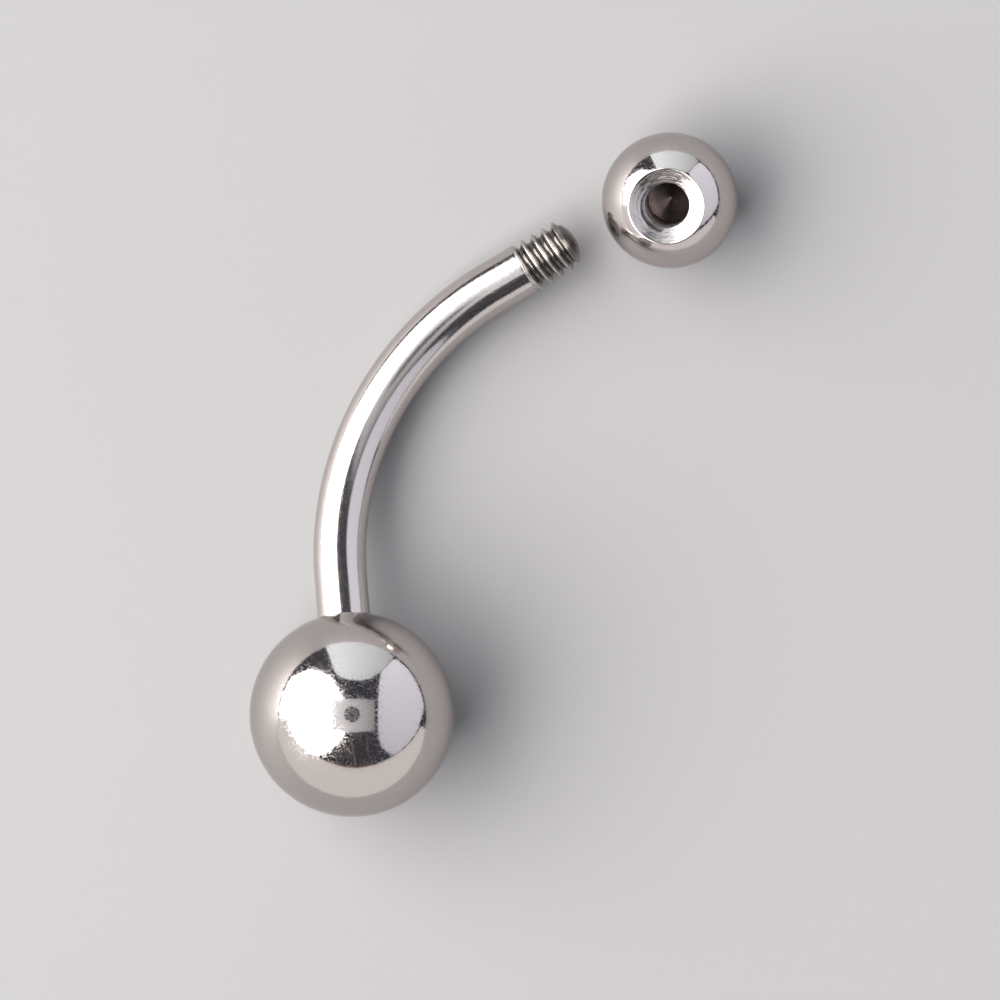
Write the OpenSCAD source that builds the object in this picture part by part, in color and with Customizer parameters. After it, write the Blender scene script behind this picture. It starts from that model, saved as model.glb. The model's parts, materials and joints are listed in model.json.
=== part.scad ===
// Belly bar: a bent steel bar with a large fixed ball on one end and a screw thread on the other,
// and the small threaded ball that screws onto it, taken off and lying beside it.
// Millimetres, +Z up. Everything lies on the plane z = 0, and the origin is the middle of the
// footprint's box. The bar lies as it comes to rest by itself, on its ball and on one point of the bend.

/* [Balls] */
// Diameter of the large fixed ball
large_ball_d = 6; // [5:0.5:8]
// Diameter of the small ball that screws off
small_ball_d = 4; // [4:0.5:5]

/* [Bar] */
// Diameter of the polished bar
bar_d = 1.55; // [1.5:0.01:1.6]
// Straight stretch between the large ball's surface and the bend
lead_length = 1.2; // [0.5:0.05:2.5]
// Radius of the bend, to the middle of the bar
bend_r = 8.7; // [8:0.1:10]
// Angle through which the bar is bent, in degrees
bend_angle = 67.8; // [60:0.1:80]
// Straight stretch between the bend and the shoulder, where the thread starts
tail_length = 1.05; // [0.5:0.05:2]
// Depth to which the bar's plain end sits in the large ball
seat_depth = 1.8; // [1.2:0.1:2.4]
// Radial gap between the bar's plain end and its seat in the large ball
seat_gap = 0.02; // [0.01:0.005:0.03]

/* [Thread on the bar] */
// Distance from one thread crest to the next
thread_pitch = 0.35; // [0.35:0.01:0.36]
// Diameter over the thread crests
thread_crest_d = 1.54; // [1.48:0.01:1.54]
// Diameter at the bottom of the thread grooves
thread_root_d = 1.16; // [1.12:0.01:1.2]
// Width of the flat top of each crest
thread_crest_w = 0.04; // [0.04:0.01:0.08]
// Length from the shoulder of the bar to the end of the thread
thread_length = 1.72; // [1.4:0.01:1.9]
// Radius of the rounded end of the thread
thread_end_r = 0.98; // [0.8:0.01:1.2]

/* [Threaded hole in the small ball] */
// Diameter of the drilled hole, between the thread grooves
hole_d = 1.28; // [1.26:0.01:1.3]
// Diameter over the bottoms of the thread grooves
hole_groove_d = 1.58; // [1.56:0.01:1.6]
// Width of the flat bottom of each groove
hole_groove_w = 0.03; // [0.02:0.01:0.05]
// Depth of the drilled hole below the ball's round surface, without the drill's point
hole_depth = 2.3; // [2.2:0.05:2.5]
// Depth to which the hole is threaded, below the ball's round surface
tapped_depth = 1.9; // [1.6:0.05:1.9]
// Angle of the drill's point, in degrees
drill_point_angle = 118; // [90:1:140]
// Width of the countersink where it meets the ball's surface
countersink_d = 2.2; // [1.9:0.05:2.4]
// Full angle of the countersink, in degrees
countersink_angle = 120; // [90:1:120]

/* [How the pieces lie] */
// Distance from the large ball's centre to the small ball's centre, to the right
small_ball_x = 9.3; // [9:0.05:12]
// Distance from the large ball's centre to the small ball's centre, to the back
small_ball_y = 15.05; // [14.5:0.05:18]
// Turn of the lying bar about the upright, to the left, in degrees
bar_turn = 7; // [0:0.1:10]
// Tilt of the small ball's hole from the upright, in degrees
hole_tilt = 9.5; // [0:0.5:15]
// Direction in which the small ball's hole leans, in degrees from +X to +Y
hole_lean_direction = 241; // [200:1:280]

/* [Hidden] */
$fn = 96;

large_ball_r = large_ball_d / 2;
small_ball_r = small_ball_d / 2;
bar_r = bar_d / 2;
steel = [0.78, 0.78, 0.79];
thread_steel = [0.70, 0.67, 0.64];

// Screw surfaces: their steps to a turn, and the slope of their flanks
steps_per_turn = 18;
flank_slope = tan(30);
// How far the groove cutter reaches back into the open hole, and the angle in which it runs in
cutter_margin = 0.06;
run_in_angle = 150;
// Height over the bar's shoulder in which the groove round the bar gets to its full depth
run_in_height = 0.12;
// Where the middle of the groove lies from the shoulder, at angle 0 round the thread
groove_start = -0.07;
// How far the thread's core reaches back into the bar, past the shoulder
core_overlap = 0.1;

// The bar in its own plane: the large ball's centre is at the origin and the lead runs along +Y
lead_end = large_ball_r + lead_length;
bend_centre = [bend_r, lead_end];
bend_end = bend_centre + bend_r * [-cos(bend_angle), sin(bend_angle)];
thread_direction = [sin(bend_angle), cos(bend_angle)];
shoulder = bend_end + tail_length * thread_direction;

// The bar's balance: each stretch's volume times its middle, for the parts outside the ball
section = PI * bar_r * bar_r;
thread_share = pow((thread_crest_d + thread_root_d) / 2 / bar_d, 2);
bend_radians = bend_angle * PI / 180;
bend_middle = bend_centre + bend_r / bend_radians * [-sin(bend_angle), 1 - cos(bend_angle)];
moments =
    section * lead_length * [0, large_ball_r + lead_length / 2]
    + section * bend_r * bend_radians * bend_middle
    + section * tail_length * (bend_end + shoulder) / 2
    + section * thread_share * thread_length * (shoulder + thread_length / 2 * thread_direction);

// The bar touches the surface where the line from the ball's centre through the centre of mass
// crosses the bend, and it leans down towards that point's outer side until it touches
balance_line = moments / norm(moments);
along = balance_line * bend_centre;
contact_point = balance_line
    * (along + sqrt(along * along - bend_centre * bend_centre + bend_r * bend_r));
lean_direction = (contact_point - bend_centre) / bend_r;
lean_angle = asin((large_ball_r - bar_r) / (contact_point * lean_direction));

// The box round both pieces is centred on the origin
large_ball_place = [
    -(small_ball_x + small_ball_r - large_ball_r) / 2,
    -(small_ball_y + small_ball_r - large_ball_r) / 2,
    large_ball_r
];
small_ball_place = [
    large_ball_place[0] + small_ball_x,
    large_ball_place[1] + small_ball_y,
    small_ball_r
];

// Four corners of a groove cutter's section, as [radius, distance along the axis]
function cutter_section(r_open, w_open, r_floor, w_floor, z) = [
    [r_open, z - w_open / 2],
    [r_floor, z - w_floor / 2],
    [r_floor, z + w_floor / 2],
    [r_open, z + w_open / 2]
];

// The section turned to its place round the axis
function ring_points(section, angle) = [
    for (corner = section) [corner[0] * cos(angle), corner[0] * sin(angle), corner[1]]
];

// Two triangles for each side between one ring and the next, and two to close each end
function ring_faces(rings) = concat(
    [[0, 1, 2], [0, 2, 3]],
    [
        for (i = [0 : rings - 2], j = [0 : 3], half = [0, 1])
        let (a = 4 * i + j, b = 4 * i + (j + 1) % 4)
        half == 0 ? [a, a + 4, b + 4] : [a, b + 4, b]
    ],
    [[4 * rings - 4, 4 * rings - 2, 4 * rings - 3], [4 * rings - 4, 4 * rings - 1, 4 * rings - 2]]
);

// One solid swept through a list of sections along a right-handed screw
module screw_sweep(sections, angles) {
    rings = len(sections);
    polyhedron(
        points = [for (i = [0 : rings - 1]) each ring_points(sections[i], angles[i])],
        faces = ring_faces(rings)
    );
}

// How deep the bar's thread is cut at an angle and a height: 0 on a crest, 1 at the bottom of a groove
function groove_share(angle, z) =
    let (
        turns = (z - groove_start) / thread_pitch - angle / 360,
        from_groove = abs(turns - round(turns)) * thread_pitch,
        flank_w = (thread_crest_d - thread_root_d) / 2 * flank_slope,
        root_half_w = (thread_pitch - thread_crest_w) / 2 - flank_w
    )
    min(1, max(0, 1 - (from_groove - root_half_w) / flank_w)) * min(1, max(0, z / run_in_height));

// Radius of the thread's surface, which its rounded end cuts off
function thread_r(angle, z) =
    let (
        cut_r = (thread_crest_d - (thread_crest_d - thread_root_d) * groove_share(angle, z)) / 2,
        past_middle = max(0, z - thread_length + thread_end_r)
    )
    min(cut_r, sqrt(thread_end_r * thread_end_r - past_middle * past_middle));

// The threaded end, along +Z from the bar's shoulder at z = 0. Its rows of points stand so close
// that the screw rises by one row from each point to the next, so every crest is a clean line
module threaded_end() {
    sides = steps_per_turn;
    row_h = thread_pitch / sides;
    low_row = -ceil(core_overlap / row_h);
    rows = ceil(thread_length / row_h) - low_row;
    corner = function (row, side) row * sides + side % sides;
    polyhedron(
        points = concat(
            [
                for (row = [0 : rows - 1], side = [0 : sides - 1])
                let (angle = side * 360 / sides, z = (row + low_row) * row_h, r = thread_r(angle, z))
                [r * cos(angle), r * sin(angle), z]
            ],
            [[0, 0, low_row * row_h], [0, 0, thread_length]]
        ),
        faces = concat(
            [
                for (row = [0 : rows - 2], side = [0 : sides - 1])
                [corner(row, side), corner(row + 1, side + 1), corner(row, side + 1)]
            ],
            [
                for (row = [0 : rows - 2], side = [0 : sides - 1])
                [corner(row, side), corner(row + 1, side), corner(row + 1, side + 1)]
            ],
            [for (side = [0 : sides - 1]) [rows * sides, corner(0, side), corner(0, side + 1)]],
            [
                for (side = [0 : sides - 1])
                [corner(rows - 1, side), rows * sides + 1, corner(rows - 1, side + 1)]
            ]
        )
    );
}

// The groove of the thread in the small ball, between two distances along the hole's axis
module hole_groove(z_low, z_high) {
    r_open = hole_d / 2 - cutter_margin;
    groove_r = hole_groove_d / 2;
    turns = (z_high - z_low) / thread_pitch;
    angles = [for (i = [0 : ceil(turns * steps_per_turn)]) i * 360 / steps_per_turn];
    screw_sweep(
        [
            for (angle = angles)
            let (
                run_in = min(1, angle / run_in_angle),
                floor_r = r_open + 0.01 + run_in * (groove_r - r_open - 0.01)
            )
            cutter_section(
                floor_r, hole_groove_w, r_open,
                hole_groove_w + 2 * (floor_r - r_open) * flank_slope,
                z_low + thread_pitch * angle / 360
            )
        ],
        angles
    );
}

// Lays what is drawn in the bar's own plane down on the surface
module lying() {
    translate(large_ball_place)
        rotate([0, 0, bar_turn])
        rotate(a = lean_angle, v = [-lean_direction[1], lean_direction[0], 0])
        children();
}

// A round rod of the bar's size along +Y, from one distance to another
module rod(from, to, r) {
    translate([0, from, 0]) rotate([-90, 0, 0]) cylinder(r = r, h = to - from);
}

// The bent bar: its plain end in the large ball, the lead, the bend, the tail and the thread
module curved_bar() {
    color(steel) lying() {
        rod(large_ball_r - seat_depth, lead_end, bar_r);
        translate(bend_centre)
            mirror([1, 0, 0])
            rotate_extrude(angle = bend_angle)
            translate([bend_r, 0])
            circle(r = bar_r);
        translate(bend_end)
            rotate([0, 0, -bend_angle]) {
                rod(0, tail_length, bar_r);
                translate([0, tail_length, 0])
                    rotate([-90, 0, 0])
                    color(thread_steel)
                    threaded_end();
            }
    }
}

// The large ball, fixed on the bar's plain end
module large_ball() {
    seat_floor = large_ball_r - seat_depth - seat_gap;
    color(steel) lying() difference() {
        sphere(r = large_ball_r);
        rod(seat_floor, large_ball_r + 1, bar_r + seat_gap);
    }
}

// A cone whose point is down at height z, opening upwards to radius r, with a full angle
module drill_cone(z, r, angle) {
    translate([0, 0, z]) cylinder(r1 = 0, r2 = r, h = r / tan(angle / 2));
}

// The small ball, with its countersunk, threaded blind hole looking up
module small_ball() {
    hole_r = hole_d / 2;
    hole_floor = small_ball_r - hole_depth;
    point_height = hole_r / tan(drill_point_angle / 2);
    rim_r = countersink_d / 2;
    rim_z = sqrt(small_ball_r * small_ball_r - rim_r * rim_r);
    sink_point = rim_z - rim_r / tan(countersink_angle / 2);
    sink_r = rim_r + (small_ball_r - rim_z + 0.1) * tan(countersink_angle / 2);
    color(steel)
        translate(small_ball_place)
        rotate([0, 0, hole_lean_direction])
        rotate([0, hole_tilt, 0])
        difference() {
            sphere(r = small_ball_r);
            translate([0, 0, hole_floor]) cylinder(r = hole_r, h = small_ball_r - hole_floor);
            drill_cone(hole_floor - point_height, hole_r, drill_point_angle);
            drill_cone(sink_point, sink_r, countersink_angle);
            hole_groove(small_ball_r - tapped_depth, rim_z);
        }
}

curved_bar();
large_ball();
small_ball();
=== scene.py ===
"""The looks of a belly bar: a bent steel bar with a fixed ball, and the threaded ball for its other end.

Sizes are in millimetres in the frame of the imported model, and turned to metres where a mesh is made.
The pieces are remade as fine closed surfaces with the small roundings, threads and tool marks that
the plain solids leave out, and lie in a small studio of pale paper, one large lamp and white cards.
"""

import json
import logging
import math
from dataclasses import dataclass, field
from enum import Enum
from typing import Any

import bpy
import numpy as np
from bpy.types import Material, Node, NodeSocket, NodeTree, Object
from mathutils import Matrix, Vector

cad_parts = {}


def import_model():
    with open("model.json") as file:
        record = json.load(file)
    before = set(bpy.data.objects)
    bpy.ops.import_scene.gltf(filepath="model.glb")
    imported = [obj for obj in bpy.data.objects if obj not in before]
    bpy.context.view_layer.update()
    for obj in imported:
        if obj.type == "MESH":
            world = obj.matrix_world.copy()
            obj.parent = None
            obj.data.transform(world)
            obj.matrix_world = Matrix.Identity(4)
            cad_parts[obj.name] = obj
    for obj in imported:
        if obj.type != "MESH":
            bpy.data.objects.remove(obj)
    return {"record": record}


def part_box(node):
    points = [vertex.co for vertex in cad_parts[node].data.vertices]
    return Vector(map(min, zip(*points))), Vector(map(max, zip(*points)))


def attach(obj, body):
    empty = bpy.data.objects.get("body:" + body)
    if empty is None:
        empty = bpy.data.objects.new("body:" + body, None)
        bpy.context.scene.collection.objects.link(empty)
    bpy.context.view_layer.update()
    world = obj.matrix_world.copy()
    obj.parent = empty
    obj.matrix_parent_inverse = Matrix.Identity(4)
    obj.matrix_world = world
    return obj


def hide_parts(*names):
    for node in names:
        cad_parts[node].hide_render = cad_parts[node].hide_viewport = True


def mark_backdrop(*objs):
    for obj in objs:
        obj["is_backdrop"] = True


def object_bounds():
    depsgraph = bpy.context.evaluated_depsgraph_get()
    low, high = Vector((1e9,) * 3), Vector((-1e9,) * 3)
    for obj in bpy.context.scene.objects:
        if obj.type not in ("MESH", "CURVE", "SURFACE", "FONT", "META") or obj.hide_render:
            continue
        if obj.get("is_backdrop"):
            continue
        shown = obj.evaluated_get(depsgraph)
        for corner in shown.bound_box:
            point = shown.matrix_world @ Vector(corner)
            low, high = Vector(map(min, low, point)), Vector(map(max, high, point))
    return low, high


log = logging.getLogger("belly_bar")

MM = 0.001
BODY = "root"
# Faces that meet at more than this angle, in degrees, keep a sharp edge between them
SHARP_ANGLE = 40
# How round the edges of a thread are, as a share of its flank's width
THREAD_ROUNDING = 0.12
# The flanks of a metric thread stand at 30 degrees to a plane across its axis
FLANK_SLOPE = math.tan(math.radians(30))


class Slot(Enum):
    """The material slots of the part's record."""

    BAR = "bar_steel"
    BALL = "ball_steel"


# Colours and nodes


def linear(hex_colour: str) -> tuple[float, float, float, float]:
    """Turns an sRGB hex colour into Blender's linear values.

    Args:
        hex_colour: six hex digits with a leading hash.

    Returns:
        Red, green, blue and an alpha of 1.
    """
    shares = [int(hex_colour[i : i + 2], 16) / 255 for i in (1, 3, 5)]
    red, green, blue = (s / 12.92 if s <= 0.04045 else ((s + 0.055) / 1.055) ** 2.4 for s in shares)
    return (red, green, blue, 1.0)


def add_node(
    tree: NodeTree, kind: str, inputs: dict[str | int, Any] | None = None, **settings: Any
) -> Node:
    """Adds one node, sets its options and fills or links its inputs.

    Args:
        tree: the node tree that gets the node.
        kind: Blender's type name for the node, without the word ShaderNode.
        inputs: for each input's name or number a value, the output to link from, or the node whose
            first output is linked.
        **settings: the node's own options, by name.

    Returns:
        The new node.
    """
    node = tree.nodes.new("ShaderNode" + kind)
    for name, value in settings.items():
        setattr(node, name, value)
    for key, value in (inputs or {}).items():
        if isinstance(value, Node):
            value = value.outputs[0]
        if isinstance(value, NodeSocket):
            tree.links.new(value, node.inputs[key])
        else:
            node.inputs[key].default_value = value
    return node


# Surfaces


@dataclass
class RingSurface:
    """A closed surface made of rings of points, with a point that closes each end.

    Attributes:
        rings: array of rows, sides and three coordinates.
        start: the point that closes the first ring.
        end: the point that closes the last ring.
        along: distance of each row along the surface, for the piece's UV map.
        dress: number of the material of each face, by strip between two rows and by side.
        depth: how deep a thread is cut at each point, with the painted shade on the bar's rounded end,
            from 0 to 1, for the map of the cut's depth.
        inside_out: true where the rows run up a hole and down the outside.
    """

    rings: np.ndarray
    start: np.ndarray
    end: np.ndarray
    along: np.ndarray
    dress: np.ndarray
    depth: np.ndarray
    inside_out: bool = False

    def build(self, name: str) -> Object:
        """Puts the surface into a mesh object at the origin.

        Four points that are neighbours in row and side make one face, and each end is closed by a
        fan of triangles to its point. The first and third corner of a face are one row and one side
        apart, so the diagonal of a face follows a right-handed screw. The first UV map holds the
        distance along the surface and the share of a turn, and the second the depth of the cut with
        any painted shade.

        Args:
            name: the object's name.

        Returns:
            The new object, shaded smooth but for its sharp edges.
        """
        rows, sides, _ = self.rings.shape
        row, side = np.indices((rows - 1, sides)).reshape(2, -1)
        nxt = (side + 1) % sides
        corners = [(row, side, side), (row, nxt, side + 1)]
        corners += [(row + 1, nxt, side + 1), (row + 1, side, side)]
        if self.inside_out:
            corners = [corners[i] for i in (0, 3, 2, 1)]
        quads = np.stack([r * sides + s for r, s, _ in corners], axis=1)
        first, second = np.arange(sides), (np.arange(sides) + 1) % sides
        if self.inside_out:
            first, second = second, first
        last = (rows - 1) * sides
        pole_0, pole_1 = rows * sides, rows * sides + 1
        fan_0 = np.stack([np.full(sides, pole_0), second, first], axis=1)
        fan_1 = np.stack([np.full(sides, pole_1), last + first, last + second], axis=1)
        points = np.concatenate([self.rings.reshape(-1, 3), [self.start, self.end]]) * MM
        loops = np.concatenate([quads.ravel(), fan_0.ravel(), fan_1.ravel()])
        totals = np.repeat([4, 3], [len(quads), 2 * sides])
        starts = np.cumsum(totals) - totals
        mesh = bpy.data.meshes.new(name)
        mesh.vertices.add(len(points))
        mesh.vertices.foreach_set("co", points.astype(np.float32).ravel())
        mesh.loops.add(len(loops))
        mesh.loops.foreach_set("vertex_index", loops.astype(np.int32))
        mesh.polygons.add(len(totals))
        dress = np.concatenate([self.dress.ravel(), self.dress[0], self.dress[-1]])
        for key, values in (("loop_start", starts), ("loop_total", totals), ("material_index", dress)):
            mesh.polygons.foreach_set(key, values.astype(np.int32))
        mesh.polygons.foreach_set("use_smooth", np.ones(len(totals), bool))
        quad_along = np.stack([self.along[r] for r, _, _ in corners], axis=1)
        along = np.concatenate([quad_along.ravel(), np.repeat(self.along[[0, -1]], 3 * sides)])
        quad_turns = np.stack([turn for _, _, turn in corners], axis=1)
        fan_turns = np.stack([first + 0.5, second, first], axis=1)
        turns = np.concatenate([quad_turns.ravel(), fan_turns.ravel(), fan_turns.ravel()]) / sides
        # The cut's depth here also carries the painted shade on the bar's rounded end
        cut = np.concatenate([self.depth.ravel(), self.depth[[0, -1]].mean(axis=1)])[loops]
        for key, u, v in (("surface", along, turns), ("cut", cut, 0 * cut)):
            uv = np.stack([u, v], axis=1).astype(np.float32)
            mesh.uv_layers.new(name=key).data.foreach_set("uv", uv.ravel())
        mesh.update(calc_edges=True)
        mesh.validate()
        mesh.set_sharp_from_angle(angle=math.radians(SHARP_ANGLE))
        obj = bpy.data.objects.new(name, mesh)
        bpy.context.scene.collection.objects.link(obj)
        return obj


def soft_clip(x: np.ndarray, softness: float) -> np.ndarray:
    """Holds values between 0 and 1 with rounded corners.

    The formula is half of (the root of x squared plus softness squared, less the same root of x less 1,
    plus 1), which is the plain clip where the softness is 0.

    Args:
        x: the values.
        softness: how round the corners are.

    Returns:
        The held values.
    """
    return 0.5 * (np.sqrt(x**2 + softness**2) - np.sqrt((x - 1) ** 2 + softness**2) + 1)


def soft_min(a: np.ndarray, b: np.ndarray, softness: float) -> np.ndarray:
    """The smaller of two values, with a rounded change from one to the other.

    Args:
        a: the first values.
        b: the second values.
        softness: how round the change is.

    Returns:
        Half of (a plus b less the root of their difference squared plus softness squared).
    """
    return 0.5 * (a + b - np.sqrt((a - b) ** 2 + softness**2))


def groove_share(
    turn: np.ndarray, z: np.ndarray, pitch: float, root_half: float, flank: float
) -> np.ndarray:
    """How deep a right-handed thread is cut: 0 on a crest and 1 at the bottom of a groove.

    The groove's middle rises by one pitch a turn. The share is 1 within half the root's width of that
    middle and falls to 0 across the flank's width.

    Args:
        turn: the share of a full turn round the axis.
        z: the height over the groove's middle at turn 0, in millimetres.
        pitch: distance between grooves.
        root_half: half the width of the groove's bottom.
        flank: width of a flank, seen along the axis.

    Returns:
        The share at each place.
    """
    grooves = z / pitch - turn
    away = np.abs(grooves - np.round(grooves)) * pitch
    return soft_clip(1 - (away - root_half) / flank, THREAD_ROUNDING)


# Where things lie


@dataclass(frozen=True)
class BarPlane:
    """The plane in which the bar is bent, laid in the frame.

    Attributes:
        ball_centre: the large ball's centre, the plane's origin.
        across: direction from the lead towards the inside of the bend.
        lead: direction in which the bar leaves the large ball.
    """

    ball_centre: np.ndarray
    across: np.ndarray
    lead: np.ndarray

    @property
    def up(self) -> np.ndarray:
        """The plane's own normal, which looks up from the paper."""
        return np.cross(self.across, self.lead)

    def place(self, a: np.ndarray, b: np.ndarray) -> np.ndarray:
        """Points of the plane, a across and b along the lead, in the frame."""
        return self.ball_centre + np.multiply.outer(a, self.across) + np.multiply.outer(b, self.lead)

    def direction(self, a: np.ndarray, b: np.ndarray) -> np.ndarray:
        """Directions in the plane, a across and b along the lead, in the frame."""
        return np.multiply.outer(a, self.across) + np.multiply.outer(b, self.lead)


def mount(record: dict[str, Any], name: str) -> tuple[np.ndarray, np.ndarray]:
    """Finds one of the record's mounts.

    Args:
        record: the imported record.
        name: the mount's name.

    Returns:
        Its place in millimetres and its axis.
    """
    found = next(m for m in record["mounts"] if m["name"] == name)
    return np.array(found["pos_m"]) / MM, np.array(found["axis"])


def ball_box(node: str) -> tuple[np.ndarray, float]:
    """Centre and radius of a ball that stands on the paper, from its node's box.

    Args:
        node: the ball's CAD node.

    Returns:
        The centre and the radius, in millimetres.
    """
    low, high = (np.array(corner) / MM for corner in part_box(node))
    radius = min(high[0] - low[0], high[1] - low[1]) / 2
    return np.array([(low[0] + high[0]) / 2, (low[1] + high[1]) / 2, low[2] + radius]), radius


# Finishes

# How the three directions of hairlines are turned, in radians about X, Y and Z
HAIRLINE_TURNS = ((0.3, 0.9, 0.2), (1.4, 0.4, 1.1), (2.3, 1.9, 0.7))


@dataclass(frozen=True)
class Finish:
    """A material, to which each kind of finish adds its own nodes.

    Attributes:
        name: the material's name.
    """

    name: str

    def shader(self, tree: NodeTree) -> Node:
        """Adds the finish's nodes to a material's tree and returns the shader."""
        raise NotImplementedError

    def build(self) -> Material:
        """Makes the material, with the finish's shader as its surface.

        Returns:
            The finished material.
        """
        material = bpy.data.materials.new(self.name)
        material.use_nodes = True
        tree = material.node_tree
        tree.nodes.clear()
        add_node(tree, "OutputMaterial", {"Surface": self.shader(tree)})
        return material


@dataclass(frozen=True)
class PolishedSteel(Finish):
    """Surgical stainless steel, tumbled and buffed to a mirror.

    To the eye it gives sharp, warm grey reflections under a fine speckled haze, with a few hairlines.

    Attributes:
        colour: what the metal mirrors straight on, warm grey and near half of the light.
        edge: share of a plain mirror's light that is left at a grazing view.
        roughness: of the clean mirror.
        hairline_gap: mean distance between hairlines of one direction.
        hairline_length: length of a straight stretch of a hairline.
        hairline_width: the noise's distance from its middle where a hairline fades and where it ends.
        hairline_share: how much rougher the metal is in a hairline.
        grain: size of the haze's specks, drawn coarser than real so that they show.
        haze_range: value of the noise where the haze starts and where it is thick.
        haze: how much rougher the metal is where the haze is thick.
    """

    colour: str = "#BDB5B1"
    edge: float = 0.8
    roughness: float = 0.055
    hairline_gap: float = 0.5
    hairline_length: float = 2.2
    hairline_width: tuple[float, float] = (0.002, 0.008)
    hairline_share: float = 0.12
    grain: float = 0.05
    haze_range: tuple[float, float] = (0.465, 0.665)
    haze: float = 0.18

    def hairlines(self, tree: NodeTree, place: NodeSocket) -> Node:
        """Adds the nodes that draw the hairlines.

        A hairline lies where a noise that is drawn out in one direction crosses its middle value.

        Args:
            tree: the material's tree.
            place: the output that gives the place on the piece.

        Returns:
            The node that gives 1 in a hairline and 0 elsewhere.
        """
        gap, length = self.hairline_gap * MM, self.hairline_length * MM
        fades, ends = self.hairline_width
        lines = []
        for number, turn in enumerate(HAIRLINE_TURNS):
            # Each direction takes its lines from another part of the noise
            shift = (number * 0.011, 0.007, 0.003)
            lie = {"Location": shift, "Rotation": turn, "Scale": (gap, gap, length)}
            turned = add_node(tree, "Mapping", {"Vector": place, **lie}, vector_type="TEXTURE")
            drawn_out = add_node(tree, "TexNoise", {"Vector": turned, "Scale": 1.0, "Detail": 0.0})
            off_middle = add_node(tree, "Math", {0: drawn_out, 1: 0.5}, operation="SUBTRACT")
            size = add_node(tree, "Math", {0: off_middle}, operation="ABSOLUTE")
            fade = {"From Min": fades, "From Max": ends, "To Min": 1.0, "To Max": 0.0}
            lines.append(add_node(tree, "MapRange", {"Value": size, **fade}))
        every = lines[0]
        for line in lines[1:]:
            every = add_node(tree, "Math", {0: every, 1: line}, operation="MAXIMUM")
        return every

    def shader(self, tree: NodeTree) -> Node:
        """Adds the nodes of the buffed steel.

        The roughness is the clean mirror's, plus the hairline's or the haze's share, whichever is more.

        Args:
            tree: the material's tree.

        Returns:
            The shader.
        """
        place = add_node(tree, "TexCoord").outputs["Object"]
        lines = self.hairlines(tree, place)
        specks = {"Scale": 1 / (self.grain * MM), "Detail": 1.0}
        grain = add_node(tree, "TexNoise", {"Vector": place, **specks})
        starts, thick = self.haze_range
        rise = {"From Min": starts, "From Max": thick, "To Max": self.haze}
        haze = add_node(tree, "MapRange", {"Value": grain, **rise})
        scratch = add_node(tree, "Math", {0: lines, 1: self.hairline_share}, operation="MULTIPLY")
        rougher = add_node(tree, "Math", {0: scratch, 1: haze}, operation="MAXIMUM")
        roughness = add_node(tree, "Math", {0: rougher, 1: self.roughness}, operation="ADD")
        edge = (self.edge, self.edge, self.edge, 1.0)
        metal = {"Base Color": linear(self.colour), "Metallic": 1.0, "Specular Tint": edge}
        return add_node(tree, "BsdfPrincipled", {"Roughness": roughness, **metal})


@dataclass(frozen=True)
class CutSteel(Finish):
    """The same steel as a die, tap, drill or countersink leaves it.

    To the eye it is duller and darker than the buffed steel, with torn lines round the axis.

    Attributes:
        crest: colour of the rubbed high places.
        groove: colour of the low places, where oil and oxide stay, so that each turn of a thread shows.
        line_gap: distance between tool marks.
        lines_round: how often the marks change in one turn.
        roughness: the least and the most rough places.
        depth: depth of the tool marks.
        blotch: size of the stains.
        stain_range: depth, stain and the painted shade of the bar's rounded end together where the
            groove's colour starts and where it is full.
    """

    crest: str = "#BFBAB6"
    groove: str = "#69635F"
    line_gap: float = 0.03
    lines_round: float = 5.0
    roughness: tuple[float, float] = (0.16, 0.36)
    depth: float = 0.005
    blotch: float = 0.16
    stain_range: tuple[float, float] = (0.45, 1.3)

    def shader(self, tree: NodeTree) -> Node:
        """Adds the nodes of the cut steel.

        The tool marks are a noise along the piece's own UV map, fine along it and long round it. The
        colour goes from the crest's to the groove's with the map of the cut's depth and painted shade, a
        little blotched.

        Args:
            tree: the material's tree.

        Returns:
            The shader.
        """
        surface = add_node(tree, "UVMap", uv_map="surface")
        stretch = (1 / self.line_gap, self.lines_round, 1.0)
        across = add_node(tree, "Mapping", {"Vector": surface, "Scale": stretch})
        torn = {"Detail": 3.0, "Roughness": 0.6}
        marks = add_node(tree, "TexNoise", {"Vector": across, "Scale": 1.0, **torn})
        place = add_node(tree, "TexCoord").outputs["Object"]
        stain = 1 / (self.blotch * MM)
        stains = add_node(tree, "TexNoise", {"Vector": place, "Scale": stain, **torn})
        # The map of the cut's depth also carries the painted shade on the bar's rounded end
        cut = add_node(tree, "UVMap", uv_map="cut")
        cut_depth_and_shade = add_node(tree, "SeparateXYZ", {"Vector": cut})
        stain_and_shade = add_node(tree, "Math", {0: cut_depth_and_shade, 1: stains}, operation="ADD")
        rubbed, dark = self.stain_range
        tint = add_node(tree, "MapRange", {"Value": stain_and_shade, "From Min": rubbed, "From Max": dark})
        colours = {6: linear(self.crest), 7: linear(self.groove)}
        colour = add_node(tree, "Mix", {"Factor": tint, **colours}, data_type="RGBA")
        least, most = self.roughness
        spread = {"From Min": 0.35, "From Max": 0.65, "To Min": least, "To Max": most}
        roughness = add_node(tree, "MapRange", {"Value": marks, **spread})
        bump = add_node(tree, "Bump", {"Height": marks, "Strength": 1.0, "Distance": self.depth * MM})
        metal = {"Metallic": 1.0, "Roughness": roughness, "Normal": bump}
        return add_node(tree, "BsdfPrincipled", {"Base Color": colour.outputs[2], **metal})


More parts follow.
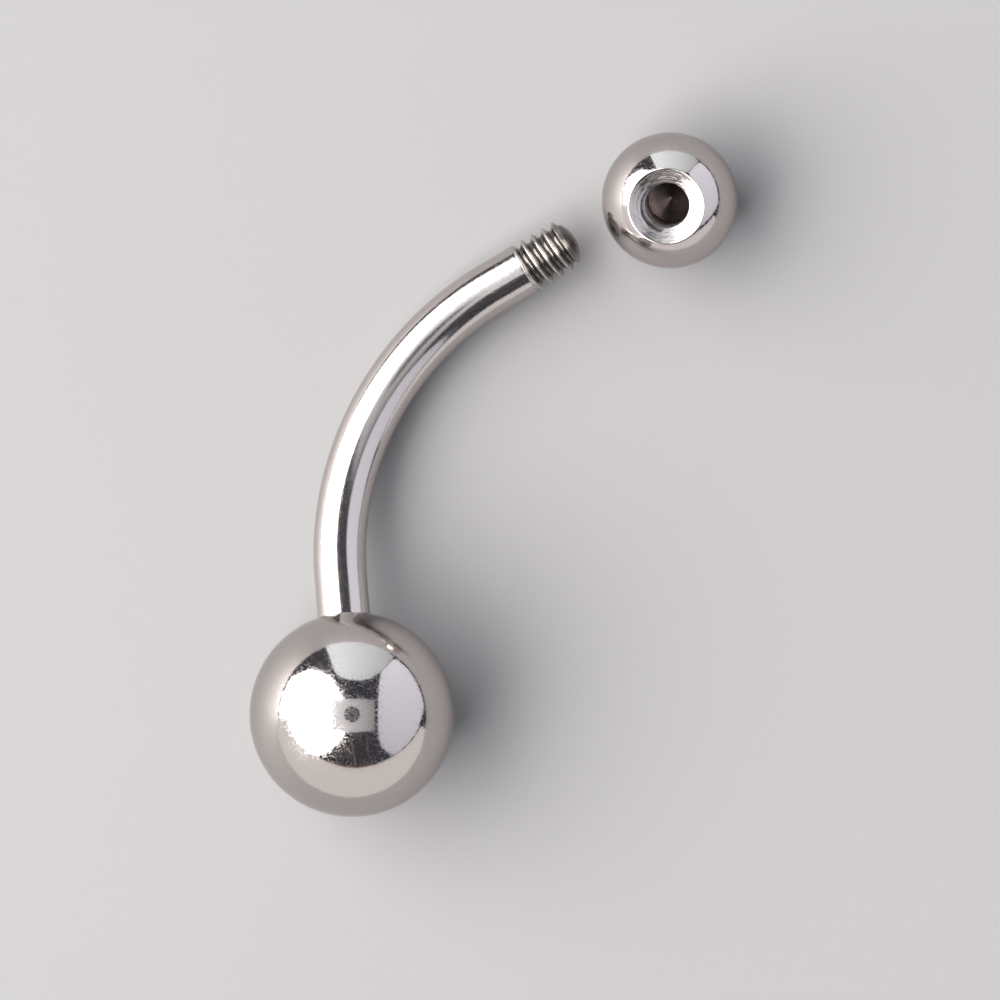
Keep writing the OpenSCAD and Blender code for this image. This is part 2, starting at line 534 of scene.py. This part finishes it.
@dataclass(frozen=True)
class StudioPaper(Finish):
    """Smooth grey card under the pieces.

    To the eye it is satin, so that it shines a little towards the lamp, with a faint felt mark.

    Attributes:
        colour: the paper's own colour.
        roughness: how wide it spreads the lamp's reflection.
        shine: how strongly it mirrors.
        grain: size of the felt mark.
        depth: depth of the felt mark.
    """

    colour: str = "#7D7B7B"
    roughness: float = 0.5
    shine: float = 0.22
    grain: float = 0.5
    depth: float = 0.01

    def shader(self, tree: NodeTree) -> Node:
        """Adds the nodes of the paper, whose felt mark is a noise.

        Args:
            tree: the material's tree.

        Returns:
            The shader.
        """
        place = add_node(tree, "TexCoord").outputs["Object"]
        mark = 1 / (self.grain * MM)
        felt = add_node(tree, "TexNoise", {"Vector": place, "Scale": mark, "Detail": 3.0})
        bump = add_node(tree, "Bump", {"Height": felt, "Strength": 0.15, "Distance": self.depth * MM})
        satin = {"Roughness": self.roughness, "Specular IOR Level": self.shine, "Normal": bump}
        return add_node(tree, "BsdfPrincipled", {"Base Color": linear(self.colour), **satin})


@dataclass(frozen=True)
class Glow(Finish):
    """A white card or lamp front, evenly lit or brighter towards one side.

    Attributes:
        colour: its colour.
        strength: its brightness, or its brightness where the run starts.
        run: two points between which the brightness changes.
        run_strength: its brightness at the second point.
    """

    colour: str
    strength: float = 1.0
    run: tuple[np.ndarray, np.ndarray] | None = None
    run_strength: float = 1.0

    def shader(self, tree: NodeTree) -> Node:
        """Adds the nodes of the light.

        The share of the run at a place is its distance from the first point along the run, over the
        run's length.

        Args:
            tree: the material's tree.

        Returns:
            The shader.
        """
        strength: float | Node = self.strength
        if self.run is not None:
            first, second = (point * MM for point in self.run)
            way = (second - first) / ((second - first) @ (second - first))
            place = add_node(tree, "TexCoord").outputs["Object"]
            along = add_node(tree, "VectorMath", {0: place, 1: tuple(way)}, operation="DOT_PRODUCT")
            ends = {"From Min": float(first @ way), "From Max": float(second @ way)}
            strengths = {"To Min": self.strength, "To Max": self.run_strength}
            share = along.outputs["Value"]
            strength = add_node(tree, "MapRange", {"Value": share, **ends, **strengths})
        return add_node(tree, "Emission", {"Color": linear(self.colour), "Strength": strength})


# The pieces


@dataclass
class CurvedBar:
    """The bent bar with its cut thread, in one closed surface.

    Attributes:
        plane: where the bar's plane lies.
        ball_r: radius of the large ball that holds it.
        bar_r: radius of the polished bar.
        lead_length: straight stretch outside the ball.
        bend_r: radius of the bend.
        bend_angle: angle of the bend, in degrees.
        tail_length: straight stretch between the bend and the shoulder.
        seat_depth: how far the bar goes into the ball.
        seat_edge_r: rounding of the plain end in the ball.
        pitch: distance between thread crests.
        crest_r: radius over the thread crests.
        root_r: radius at the bottom of the grooves.
        crest_w: width of a crest.
        thread_length: length of the thread.
        end_r: radius of the rounded end.
        end_blend: how round the thread's change to the rounded end is.
        painted_end_shade: painted shade on the rounded end, as how deep in the cut's colour it is drawn.
        groove_start: place of the groove's middle from the shoulder at turn 0.
        run_in: length in which the groove gets its full depth.
        edge_r: rounding of the bar's end edge.
        sides: points round the bar, and rows to a thread pitch.
    """

    plane: BarPlane
    ball_r: float
    bar_r: float = 0.775
    lead_length: float = 1.2
    bend_r: float = 8.7
    bend_angle: float = 67.8
    tail_length: float = 1.05
    seat_depth: float = 1.8
    seat_edge_r: float = 0.05
    pitch: float = 0.35
    crest_r: float = 0.77
    root_r: float = 0.58
    crest_w: float = 0.04
    thread_length: float = 1.72
    end_r: float = 0.98
    end_blend: float = 0.012
    painted_end_shade: float = 0.55
    groove_start: float = -0.07
    run_in: float = 0.12
    edge_r: float = 0.018
    sides: int = 112

    def stations(self) -> tuple[np.ndarray, np.ndarray]:
        """Works out the polished bar's rings, with 30 on the lead and 150 in the bend.

        Returns:
            Their distances along the bar's line, up to the shoulder's edge, and their radii.
        """
        lead_end = self.ball_r + self.lead_length
        bend_end = lead_end + self.bend_r * math.radians(self.bend_angle)
        shoulder = bend_end + self.tail_length
        inner = self.ball_r - self.seat_depth
        quarter = np.linspace(0, math.pi / 2, 7)
        inner_s = inner + self.seat_edge_r * (1 - np.cos(quarter))
        inner_r = self.bar_r - self.seat_edge_r * (1 - np.sin(quarter))
        lead_s = np.linspace(inner + 3 * self.seat_edge_r, lead_end, 30)
        bend_s = np.linspace(lead_end, bend_end, 150)[1:]
        middle_s = np.concatenate([lead_s, bend_s, [shoulder - 0.1]])
        outer_s = shoulder - self.edge_r * (1 - np.sin(quarter))
        outer_r = self.bar_r - self.edge_r * (1 - np.cos(quarter))
        s = np.concatenate([inner_s, middle_s, outer_s])
        r = np.concatenate([inner_r, np.full(len(middle_s), self.bar_r), outer_r])
        return s, r

    def thread(self, turn: np.ndarray, z: np.ndarray) -> tuple[np.ndarray, np.ndarray]:
        """The thread at a share of a turn and a distance from the shoulder.

        The radius is the crest's less the groove's depth there, held inside the rounded end. The depth
        is the groove's share, and at least the painted shade on the rounded end.

        Args:
            turn: the share of a full turn.
            z: the distance from the shoulder, in millimetres.

        Returns:
            The radius, in millimetres, and the depth of the cut with the rounded end's painted shade,
            from 0 to 1.
        """
        flank = (self.crest_r - self.root_r) * FLANK_SLOPE
        root_half = (self.pitch - self.crest_w) / 2 - flank
        share = groove_share(turn, z - self.groove_start, self.pitch, root_half, flank)
        share = share * np.clip(z / self.run_in, 0, 1)
        cut = self.crest_r - (self.crest_r - self.root_r) * share
        past = np.clip(z - self.thread_length + self.end_r, 0, self.end_r)
        dome = np.sqrt(self.end_r**2 - past**2)
        # Painted shade: the rounded end is drawn darker, towards the groove's colour, as if it stood in
        # shadow
        stain_and_shade = np.maximum(share, self.painted_end_shade * (dome < cut))
        return soft_min(cut, dome, self.end_blend), stain_and_shade

    def frame_at(self, s: np.ndarray) -> tuple[np.ndarray, np.ndarray]:
        """Middle of the bar and its inward direction at distances from the ball's centre.

        The line runs straight to the bend, then round it, and straight on along the tail and the thread.

        Args:
            s: the distances along the line.

        Returns:
            Places and inward directions in the frame.
        """
        lead_end = self.ball_r + self.lead_length
        full = math.radians(self.bend_angle)
        angle = np.clip((s - lead_end) / self.bend_r, 0, full)
        straight = np.minimum(s, lead_end)
        past = np.maximum(s - lead_end - self.bend_r * full, 0)
        a = self.bend_r * (1 - np.cos(angle)) + past * np.sin(angle)
        b = straight + self.bend_r * np.sin(angle) + past * np.cos(angle)
        return self.plane.place(a, b), self.plane.direction(np.cos(angle), -np.sin(angle))

    def build(self) -> Object:
        """Makes the bar's surface.

        Each ring is the bar's middle plus its radius times the cosine of the turn inwards and its sine
        towards the paper. The thread's rows are one side's share of a pitch apart.

        Returns:
            The bar's object.
        """
        s, r = self.stations()
        shoulder = s[-1]
        step = self.pitch / self.sides
        z = np.arange(0, self.thread_length - step / 2, step)
        turn = np.arange(self.sides) / self.sides
        thread_r, thread_cut_and_end_shade = self.thread(turn[None, :], z[:, None])
        radius = np.concatenate([np.repeat(r[:, None], self.sides, axis=1), thread_r])
        depth = np.concatenate([np.zeros((len(s), self.sides)), thread_cut_and_end_shade])
        along = np.concatenate([s, shoulder + z])
        middle, inward = self.frame_at(along)
        down = -self.plane.up
        angle = 2 * math.pi * turn
        rings = middle[:, None] + radius[:, :, None] * (
            np.cos(angle)[None, :, None] * inward[:, None] + np.sin(angle)[None, :, None] * down
        )
        start = self.frame_at(np.array([s[0]]))[0][0]
        end = self.frame_at(np.array([shoulder + self.thread_length]))[0][0]
        cut = np.arange(len(along) - 1) >= len(s) - 1
        dress = np.repeat(cut[:, None], self.sides, axis=1).astype(int)
        return RingSurface(rings, start, end, along, dress, depth).build("bar_surface")


@dataclass
class LargeBall:
    """The fixed ball, with the blind seat in which the bar's plain end sits.

    Attributes:
        plane: where the bar's plane lies.
        radius: radius of the ball.
        seat_r: radius of the seat.
        seat_depth: depth of the seat below the ball's surface.
        edge_r: rounding of the seat's edge.
        sides: points round the ball.
        rows: rings from the seat to the far side.
    """

    plane: BarPlane
    radius: float
    seat_r: float = 0.795
    seat_depth: float = 1.82
    edge_r: float = 0.01
    sides: int = 192
    rows: int = 150

    def build(self) -> Object:
        """Makes the ball's surface by turning its profile about the lead.

        The profile is the seat's floor and wall, a small round edge, and the ball's circle.

        Returns:
            The ball's object.
        """
        edge_angle = math.asin((self.seat_r + self.edge_r) / self.radius)
        floor = self.radius - self.seat_depth
        lip = self.radius * math.cos(edge_angle) - self.edge_r
        quarter = np.linspace(0, math.pi / 2, 6)
        edge_r = self.seat_r + self.edge_r * (1 - np.cos(quarter))
        edge_h = lip + self.edge_r * np.sin(quarter)
        angle = np.linspace(edge_angle, math.pi, self.rows + 1)[1:-1]
        seat_r, seat_h = [self.seat_r / 2, self.seat_r, self.seat_r], [floor, floor, lip - 0.02]
        r = np.concatenate([seat_r, edge_r, self.radius * np.sin(angle)])
        h = np.concatenate([seat_h, edge_h, self.radius * np.cos(angle)])
        turn = 2 * math.pi * np.arange(self.sides) / self.sides
        centre, lead = self.plane.ball_centre, self.plane.lead
        around = np.cos(turn)[:, None] * self.plane.across - np.sin(turn)[:, None] * self.plane.up
        rings = centre + h[:, None, None] * lead + r[:, None, None] * around
        start, end = centre + floor * lead, centre - self.radius * lead
        along = np.concatenate([[0], np.cumsum(np.hypot(np.diff(r), np.diff(h)))])
        dress = np.zeros((len(along) - 1, self.sides), int)
        depth = np.zeros((len(along), self.sides))
        surface = RingSurface(rings, start, end, along, dress, depth, inside_out=True)
        return surface.build("fixed_ball_surface")


@dataclass
class SmallBall:
    """The loose ball, with its countersunk and threaded blind hole.

    Attributes:
        centre: the ball's centre.
        axis: direction in which the hole opens.
        radius: radius of the ball.
        hole_r: radius of the hole between its grooves.
        groove_r: radius at the bottom of the grooves.
        groove_w: width of a groove's bottom.
        pitch: distance between grooves.
        hole_depth: depth of the drilled hole, without its point.
        tapped_depth: depth to which it is threaded.
        run_out: height in which the last groove fades, as a share of the pitch.
        point_angle: full angle of the drill's point, in degrees.
        sink_r: radius of the countersink at the ball's surface.
        sink_angle: full angle of the countersink, in degrees.
        sink_blend: how round the change from the hole's wall to the countersink is.
        rim_edge: rounding of the countersink's outer edge.
        arc_gap: distance between the cutter's arcs on the countersink.
        arc_depth: depth of those arcs.
        arc_turn: share of a turn at which the arcs are deepest.
        arc_spread: share of a turn in which they fade.
        sides: points round the ball, and rows to a thread pitch.
        rows: rings from the rim to the far side.
    """

    centre: np.ndarray
    axis: np.ndarray
    radius: float
    hole_r: float = 0.64
    groove_r: float = 0.79
    groove_w: float = 0.03
    pitch: float = 0.35
    hole_depth: float = 2.3
    tapped_depth: float = 1.9
    run_out: float = 0.4
    point_angle: float = 118
    sink_r: float = 1.1
    sink_angle: float = 120
    sink_blend: float = 0.02
    rim_edge: float = 0.03
    arc_gap: float = 0.12
    arc_depth: float = 0.021
    arc_turn: float = 0.79
    arc_spread: float = 0.15
    sides: int = 100
    rows: int = 110

    def bore(self, turn: np.ndarray, z: np.ndarray) -> np.ndarray:
        """Radius of the hole's wall at a share of a turn and a height over the ball's centre.

        It is the larger of the threaded wall and the countersink's cone. On one side the cone has two
        shallow arcs, where the cutter chattered: the upper half of a sine over the cone's radius, times
        a bell curve over the turn.

        Args:
            turn: the share of a full turn.
            z: the height along the hole, in millimetres.

        Returns:
            The radius, in millimetres.
        """
        flank = (self.groove_r - self.hole_r) * FLANK_SLOPE
        low = self.radius - self.tapped_depth
        share = groove_share(turn, z - low, self.pitch, self.groove_w / 2, flank)
        share = share * np.clip((z - low) / (self.run_out * self.pitch), 0, 1)
        wall = self.hole_r + (self.groove_r - self.hole_r) * share
        rim_z = math.sqrt(self.radius**2 - self.sink_r**2)
        cone = self.sink_r - (rim_z - z) * math.tan(math.radians(self.sink_angle / 2))
        over = (cone - self.groove_r) / self.arc_gap - 0.3
        arcs = np.where((over > 0) & (over < 2), np.clip(np.sin(2 * math.pi * over), 0, 1), 0)
        off = (turn - self.arc_turn + 0.5) % 1 - 0.5
        cone = cone + self.arc_depth * arcs * np.exp(-((off / self.arc_spread) ** 2))
        return -soft_min(-wall, -cone, self.sink_blend)

    def build(self) -> Object:
        """Makes the ball's surface by turning its profile about the hole's axis.

        The profile is the drill's point, the threaded wall, the countersink, a round edge and the
        ball's circle. Only the wall's radius and the countersink's change with the turn.

        Returns:
            The ball's object.
        """
        bottom = self.radius - self.hole_depth
        point = self.hole_r / math.tan(math.radians(self.point_angle / 2))
        rim_z = math.sqrt(self.radius**2 - self.sink_r**2)
        turn = np.arange(self.sides) / self.sides
        point_share = np.linspace(0, 1, 14)[1:-1]
        step = self.pitch / self.sides
        slope = math.radians(90 - self.sink_angle / 2)
        # The wall's rows stop a little below the rim, where the round edge starts
        bore_z = np.arange(bottom, rim_z - 1.2 * self.rim_edge * math.sin(slope), step)
        bore_r = self.bore(turn[None, :], bore_z[:, None])
        edge_angle = math.asin((self.sink_r + self.rim_edge) / self.radius)
        last_r, last_z = bore_r[-1].mean(), bore_z[-1]
        end_r, end_z = self.radius * math.sin(edge_angle), self.radius * math.cos(edge_angle)
        # The round edge is a curve with its control point where the cone meets the ball
        t = np.linspace(0, 1, 9)[1:-1]
        edge_r = (1 - t) ** 2 * last_r + 2 * t * (1 - t) * self.sink_r + t**2 * end_r
        edge_z = (1 - t) ** 2 * last_z + 2 * t * (1 - t) * rim_z + t**2 * end_z
        ball_angle = np.linspace(edge_angle, math.pi, self.rows + 1)[:-1]
        plain_r = [self.hole_r * point_share, edge_r, self.radius * np.sin(ball_angle)]
        plain_z = [bottom - point * (1 - point_share), edge_z, self.radius * np.cos(ball_angle)]
        spread = [np.repeat(r[:, None], self.sides, axis=1) for r in plain_r]
        radius = np.concatenate([spread[0], bore_r, spread[1], spread[2]])
        height = np.concatenate([plain_z[0], bore_z, plain_z[1], plain_z[2]])
        level = np.cross([0, 0, 1.0], self.axis)
        y_axis = level / np.linalg.norm(level)
        x_axis = np.cross(y_axis, self.axis)
        angle = 2 * math.pi * turn
        around = np.cos(angle)[:, None] * x_axis + np.sin(angle)[:, None] * y_axis
        rings = self.centre + height[:, None, None] * self.axis + radius[:, :, None] * around[None]
        start = self.centre + (bottom - point) * self.axis
        end = self.centre - self.radius * self.axis
        mean_r = radius.mean(axis=1)
        along = np.concatenate([[0], np.cumsum(np.hypot(np.diff(mean_r), np.diff(height)))])
        # Polished outside, turned on the countersink, cut by the tap on the wall, drilled below. The
        # wall stands clear of the cone by 0.004 mm, and ends 0.002 mm past the grooves
        cone_r = self.sink_r - (rim_z - height) * math.tan(math.radians(self.sink_angle / 2))
        cut_rows = len(point_share) + len(bore_z)
        in_hole = np.arange(len(height))[:, None] < cut_rows - 1
        on_wall = in_hole & (radius > cone_r[:, None] + 0.004) & (radius < self.groove_r + 0.002)
        dress = np.where(on_wall, 1, 3)[:-1]
        dress[height[:-1] < bottom] = 2
        dress[cut_rows - 1 :] = 0
        depth = np.clip((radius - self.hole_r) / (self.groove_r - self.hole_r), 0, 1) * on_wall
        surface = RingSurface(rings, start, end, along, dress, depth, inside_out=True)
        return surface.build("loose_ball_surface")


# The studio


@dataclass(frozen=True)
class Card:
    """A flat card or lamp front that faces the object from some way off.

    Attributes:
        name: the card's name.
        aim: direction from the large ball to the card's middle.
        distance: how far off it stands.
        corners: its corners, as (to the side, up) in shares of the distance.
        colour: its colour.
        strengths: its brightness at its first and its last side, seen from the object.
    """

    name: str
    aim: tuple[float, float, float]
    distance: float
    corners: tuple[tuple[float, float], ...]
    colour: str
    strengths: tuple[float, float]

    def stand(self, origin: np.ndarray) -> tuple[np.ndarray, Glow]:
        """Stands the card up so that it faces a place.

        A corner is the place plus the distance times the aim and the corner's shares of a level
        sideways direction and of the upward one. The light runs from the first side to the last.

        Args:
            origin: the place that it faces, in millimetres.

        Returns:
            Its corners, in millimetres, and its light.
        """
        aim = np.array(self.aim) / np.linalg.norm(self.aim)
        side = np.cross(aim, [0, 0, 1.0])
        side /= np.linalg.norm(side)
        shares = np.array(self.corners)
        flat = aim + shares[:, :1] * side + shares[:, 1:] * np.cross(side, aim)
        ends = [aim + share * side for share in (shares[:, 0].min(), shares[:, 0].max())]
        run = (origin + self.distance * ends[0], origin + self.distance * ends[1])
        first, last = self.strengths
        glow = Glow(self.name + "_glow", self.colour, first, run, last)
        return origin + self.distance * flat, glow


LAMP_FRONT = (
    (-0.65, 0.91), (-0.97, 0.29), (-0.80, -0.28), (-0.45, -0.61), (0.03, -0.74),
    (0.63, -0.68), (0.95, -0.29), (0.945, 0.33), (0.51, 0.83), (-0.09, 1.13),
)
RIGHT_CARD = (
    (-1.22, -0.55), (0.0, -0.67), (0.25, -0.47), (0.95, 0.0), (0.89, 0.21), (0.75, 0.43), (0.51, 0.53),
    (0.27, 0.56), (0.0, 0.55), (-0.29, 0.50), (-0.65, 0.37), (-0.93, 0.20), (-1.22, -0.37),
)
BACK_CARD = (
    (-0.50, -0.47), (-0.357, 0.257), (-0.286, 0.386), (-0.157, 0.457), (-0.04, 0.477),
    (0.186, 0.471), (0.357, 0.371), (0.529, 0.10), (0.67, -0.33), (0.70, -0.46),
)
CARDS = (
    Card("lamp", (-0.78, 0.04, 0.62), 800, LAMP_FRONT, "#FFFFFF", (14.6, 6.0)),
    Card("right_card", (0.82, 0.06, 0.5), 150, RIGHT_CARD, "#EEF2FF", (1.6, 1.03)),
    Card("back_card", (0.05, 0.9, 0.4), 300, BACK_CARD, "#F0F9FF", (1.9, 0.85)),
)
# The low front card and its red-brown edge, as (to the right, up)
FRONT_CARD_Y = -27.0
FRONT_CARD = (
    (115, 13), (16, 15.7), (-4, 15.8), (-13, 17.5), (-23, 18.7), (-55, 23), (-203, 60), (-400, 115),
    (-400, 0), (115, 0),
)
FRONT_CARD_EDGE = (
    (-17, 18.1), (-13, 17.5), (-4, 15.8), (3, 15.75), (3, 16.7), (-4, 16.9), (-13, 18.6), (-17, 19),
)
# Cables that hang in the dark behind the front card, as (right, up) of both ends, width and colour
CABLE_Y = -60.0
CABLES = (
    ((-24.3, 113), (-5.5, 59.5), 2.2, "#BFA09F"),
    ((-4.6, 114.6), (0.0, 29.5), 1.8, "#7C857A"),
    ((41.1, 155.4), (17.2, 52.7), 1.8, "#7F8063"),
)
# The card round the lens, as (to the right, back) of its corners, and its brightness left and right
LENS_CARD = ((108, -81), (108, 70), (-98, 70), (-98, -81))
LENS_CARD_STRENGTHS = (1.55, 0.5)
# Discs of the lens over the object, as radius and colour
LENS_DISCS = ((34.0, "#3C3A3E"), (28.0, "#87858A"), (9.0, "#57555A"))
# The dark foot of the right card and the dark wedge at its front end
DARK_FOOT = ((98, -60, 0), (98, 160, 0), (98, 160, 5), (98, -60, 5))
DARK_WEDGE = ((97, 4, 0), (97, 4, 4.5), (97, -24, 19), (97, -25, 0))


def level_circle(count: int, radius: float, height: float = 0.0) -> np.ndarray:
    """Points of a level circle: the radius times the cosine and sine of the turn, at one height."""
    turn = 2 * math.pi * np.arange(count) / count
    return np.stack([np.cos(turn) * radius, np.sin(turn) * radius, np.full(count, height)], axis=1)


@dataclass
class Studio:
    """The paper, the lamp, the white cards and the camera.

    Attributes:
        ball_centre: the large ball's centre, which the cards face.
        camera_place: where the camera hangs.
        focal: the camera's focal length, in image widths.
        paper_r: radius of the paper.
        wall: radius, foot and top of the pale wall round the object.
        dark: colour of the dark room.
        made: the studio's objects so far.
    """

    ball_centre: np.ndarray
    camera_place: tuple[float, float, float] = (0.171, -0.765, 230.0)
    focal: float = 7.77475
    paper_r: float = 900.0
    wall: tuple[float, float, float] = (882.0, -10.0, 700.0)
    dark: str = "#45464F"
    made: list[Object] = field(default_factory=list)

    def sheet(
        self, name: str, points: np.ndarray, finish: Finish, faces: np.ndarray | None = None
    ) -> Object:
        """Makes one sheet and adds it to the studio.

        Args:
            name: the sheet's name.
            points: its points, in millimetres.
            finish: what it is made of.
            faces: its faces. Without them, one face goes round all the points.

        Returns:
            The sheet's object.
        """
        rounds = [list(range(len(points)))] if faces is None else faces.tolist()
        mesh = bpy.data.meshes.new(name)
        mesh.from_pydata((points * MM).tolist(), [], rounds)
        mesh.update()
        mesh.materials.append(finish.build())
        sheet = bpy.data.objects.new(name, mesh)
        bpy.context.scene.collection.objects.link(sheet)
        self.made.append(sheet)
        return sheet

    def card(self, name: str, points: np.ndarray, glow: Glow) -> Object:
        """Makes a card that the camera itself doesn't see.

        Args:
            name: the card's name.
            points: its corners, in millimetres.
            glow: its light.

        Returns:
            The card's object.
        """
        card = self.sheet(name, points, glow)
        card.visible_camera = False
        return card

    def cards(self) -> None:
        """Stands the lamp and the cards round the object."""
        for card in CARDS:
            self.card(card.name, *card.stand(self.ball_centre))
        outline = np.array([(x, FRONT_CARD_Y, z) for x, z in FRONT_CARD])
        front_card = self.card("front_card", outline, Glow("front_card_glow", "#FFFFFF", 1.06))
        # The lamp's light passes this low card, so that the paper is evenly lit
        front_card.visible_shadow = False
        edge = np.array([(x, FRONT_CARD_Y, z) for x, z in FRONT_CARD_EDGE])
        self.card("front_card_edge", edge, Glow("front_edge_glow", "#7E4644"))
        for number, (first, second, width, colour) in enumerate(CABLES):
            ends = ((first, 0), (first, width), (second, width), (second, 0))
            sides = np.array([(x + beside, CABLE_Y, z) for (x, z), beside in ends])
            self.card(f"cable_{number}", sides, Glow(f"cable_glow_{number}", colour))

    def lens(self) -> None:
        """Hangs the card round the lens, and under it the discs of the lens."""
        height = self.camera_place[2] - 1
        corners = np.array([(x, y, height) for x, y in LENS_CARD])
        at_left, at_right = LENS_CARD_STRENGTHS
        glow = Glow("over_card_glow", "#F5F9FF", at_left, (corners[3], corners[0]), at_right)
        self.card("card_round_the_lens", corners, glow)
        for number, (radius, colour) in enumerate(LENS_DISCS):
            disc = level_circle(48, radius) + self.camera_place - np.array([0, 0, 2 + number])
            self.card(f"lens_disc_{number}", disc, Glow(f"lens_glow_{number}", colour))

    def dark_edges(self) -> None:
        """Stands the dark foot and the dark wedge at the right card."""
        self.card("dark_foot", np.array(DARK_FOOT), Glow("foot_dark", "#2F2C30"))
        self.card("dark_wedge", np.array(DARK_WEDGE), Glow("wedge_dark", "#34323A"))

    def backdrop(self) -> None:
        """Stands a pale wall round the object, which only the camera sees, for views from the side."""
        count = 64
        radius, foot, top = self.wall
        points = np.concatenate([level_circle(count, radius, foot), level_circle(count, radius, top)])
        index = np.arange(count)
        following = (index + 1) % count
        faces = np.stack([index, following, following + count, index + count], axis=1)
        wall = self.sheet("backdrop", points, Glow("backdrop_glow", "#D0CFD0"), faces)
        wall.visible_diffuse = False
        wall.visible_glossy = False
        wall.visible_shadow = False

    def camera(self) -> None:
        """Hangs the camera straight over the object, as in the photograph."""
        data = bpy.data.cameras.new("camera")
        data.lens = self.focal * data.sensor_width
        data.clip_start = 0.005
        data.clip_end = 3.0
        camera = bpy.data.objects.new("camera", data)
        camera.location = [c * MM for c in self.camera_place]
        bpy.context.scene.collection.objects.link(camera)
        bpy.context.scene.camera = camera

    def world(self) -> None:
        """Makes the room round the studio dark, and shows colours as they are."""
        world = bpy.data.worlds.new("room")
        bpy.context.scene.world = world
        world.use_nodes = True
        background = world.node_tree.nodes["Background"]
        background.inputs["Color"].default_value = linear(self.dark)
        bpy.context.scene.view_settings.view_transform = "Standard"

    def build(self) -> None:
        """Makes the whole studio and marks it as no part of the object."""
        self.camera()
        self.world()
        self.sheet("paper", level_circle(96, self.paper_r), StudioPaper("studio_paper"))
        self.cards()
        self.lens()
        self.dark_edges()
        self.backdrop()
        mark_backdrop(*self.made)


# Putting it together


@dataclass
class BellyBar:
    """The bar with its fixed ball and its loose ball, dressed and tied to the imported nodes.

    Attributes:
        record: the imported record.
    """

    record: dict[str, Any]

    def bar_plane(self, ball_centre: np.ndarray, ball_r: float) -> BarPlane:
        """Finds the bar's plane from the large ball's centre and the thread's place and direction.

        In the plane the thread starts one tail's length past the bend and points along its last
        direction. Those two known places give two equations for the plane's two directions.

        Args:
            ball_centre: the large ball's centre, in millimetres.
            ball_r: the large ball's radius.

        Returns:
            The plane.
        """
        shoulder, forward = mount(self.record, "bar_thread")
        angle = math.radians(CurvedBar.bend_angle)
        direction = np.array([math.sin(angle), math.cos(angle)])
        bend = CurvedBar.bend_r * np.array([1 - math.cos(angle), math.sin(angle)])
        bend_end = np.array([0, ball_r + CurvedBar.lead_length]) + bend
        known = np.array([bend_end + CurvedBar.tail_length * direction, direction])
        across, lead = np.linalg.solve(known, np.array([shoulder - ball_centre, forward]))
        lead /= np.linalg.norm(lead)
        across -= lead * (across @ lead)
        across /= np.linalg.norm(across)
        return BarPlane(ball_centre, across, lead)

    def show(self, obj: Object, node: str, slot: Slot, materials: list[Material]) -> None:
        """Dresses a piece, lets it stand for its CAD node and ties it to the body.

        Args:
            obj: the piece.
            node: the CAD node that it stands for.
            slot: the record's material slot; not used.
            materials: its materials, in the order of their numbers in the mesh.
        """
        for material in materials:
            obj.data.materials.append(material)
        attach(obj, BODY)
        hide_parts(node)
        log.info("%s stands for %s with %d faces", obj.name, node, len(obj.data.polygons))

    def build(self) -> None:
        """Builds the three pieces."""
        polished = PolishedSteel("buffed_stainless_steel").build()
        # The drawn wire is softer in its reflections than the balls, and has no hairlines
        drawn = PolishedSteel(
            "drawn_stainless_steel", edge=1.0, roughness=0.13, hairline_share=0.0, haze=0.1
        ).build()
        threaded = CutSteel("die_cut_stainless_steel").build()
        tapped = CutSteel("tapped_stainless_steel", "#958D89", "#484342").build()
        drilled = CutSteel(
            "drilled_stainless_steel", "#9A9092", "#575051", roughness=(0.16, 0.26), depth=0.0006
        ).build()
        # The countersink's marks are drawn coarser than real, so that they show as arcs
        turned = CutSteel(
            "countersunk_stainless_steel", "#BDB5B1", "#A59D99",
            line_gap=0.07, roughness=(0.06, 0.22), depth=0.03,
        ).build()
        large_centre, large_r = ball_box("large_ball")
        plane = self.bar_plane(large_centre, large_r)
        self.show(CurvedBar(plane, large_r).build(), "curved_bar", Slot.BAR, [drawn, threaded])
        self.show(LargeBall(plane, large_r).build(), "large_ball", Slot.BALL, [polished])
        small_centre, small_r = ball_box("small_ball")
        _, hole_axis = mount(self.record, "ball_thread")
        small = SmallBall(small_centre, hole_axis, small_r)
        self.show(small.build(), "small_ball", Slot.BALL, [polished, tapped, drilled, turned])


def corners(box: tuple[Any, Any]) -> list[list[float]]:
    """A box's two corners as plain lists."""
    return [[float(value) for value in corner] for corner in box]


def main() -> None:
    """Builds the studio and the object."""
    logging.basicConfig(level=logging.INFO, format="%(name)s: %(message)s")
    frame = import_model()
    cad_box = corners(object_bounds())
    BellyBar(frame["record"]).build()
    ball_centre, _ = ball_box("large_ball")
    Studio(ball_centre).build()
    {"cad": cad_box, "visual": corners(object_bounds())}


if __name__ == "__main__":
    main()
